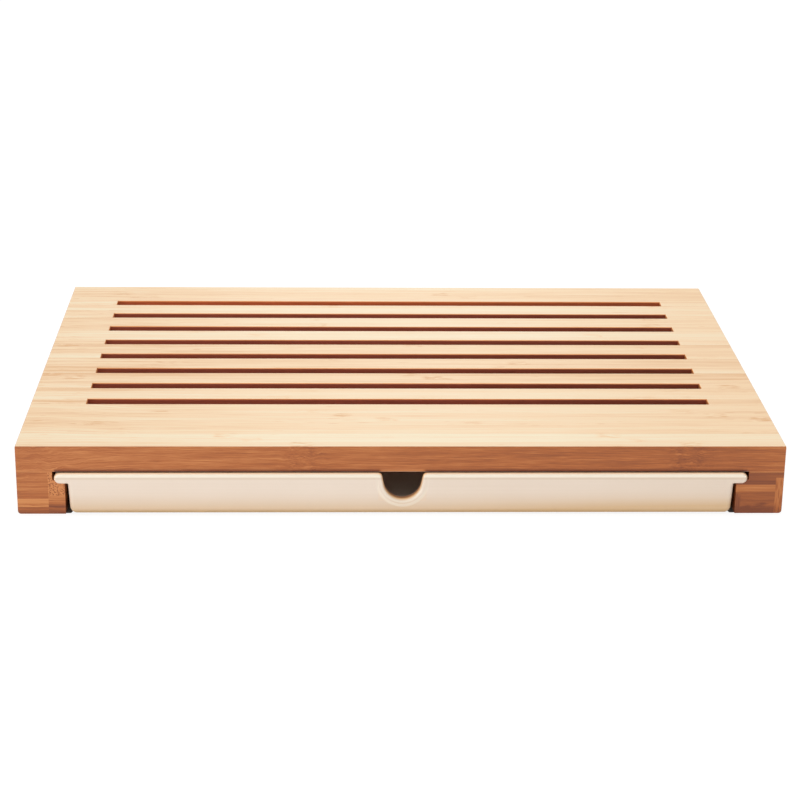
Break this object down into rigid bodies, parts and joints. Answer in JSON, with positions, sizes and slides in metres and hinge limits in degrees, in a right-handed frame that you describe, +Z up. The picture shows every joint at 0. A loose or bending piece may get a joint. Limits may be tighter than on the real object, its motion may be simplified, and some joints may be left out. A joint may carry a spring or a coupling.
{
  "type": "bread board with crumb catcher",
  "caption": "Slotted bamboo bread board on two side rails, with a shallow crumb tray that hangs in the rails and slides out of the long front side.",
  "frame": {"origin": "centre of the footprint, on the table, half way between the tray's front and the back of the board", "axes": "+X along the board's length, -Y out of the front where the tray is pulled, +Z up"},
  "size_m": [0.43, 0.303, 0.0405],
  "materials": {
    "board_bamboo": "oiled vertical-grain bamboo, satin",
    "rail_bamboo": "oiled carbonised bamboo, satin",
    "tray_melamine": "moulded ivory melamine, silk"
  },
  "bodies": {
    "board": {"front_board": "board_bamboo", "slat_1": "board_bamboo", "slat_2": "board_bamboo", "slat_3": "board_bamboo", "slat_4": "board_bamboo", "slat_5": "board_bamboo", "slat_6": "board_bamboo", "slat_7": "board_bamboo", "back_board": "board_bamboo", "left_filler_1": "board_bamboo", "left_filler_2": "board_bamboo", "left_filler_3": "board_bamboo", "left_filler_4": "board_bamboo", "left_filler_5": "board_bamboo", "left_filler_6": "board_bamboo", "left_filler_7": "board_bamboo", "left_filler_8": "board_bamboo", "right_filler_1": "board_bamboo", "right_filler_2": "board_bamboo", "right_filler_3": "board_bamboo", "right_filler_4": "board_bamboo", "right_filler_5": "board_bamboo", "right_filler_6": "board_bamboo", "right_filler_7": "board_bamboo", "right_filler_8": "board_bamboo", "left_rail": "rail_bamboo", "right_rail": "rail_bamboo", "rear_rail": "rail_bamboo"},
    "tray": {"crumb_tray": "tray_melamine"}
  },
  "joints": [
    {"name": "tray_slide", "type": "slide", "parent": "board", "child": "tray", "axis": [0, -1, 0], "range_m": [0, 0.282]}
  ]
}
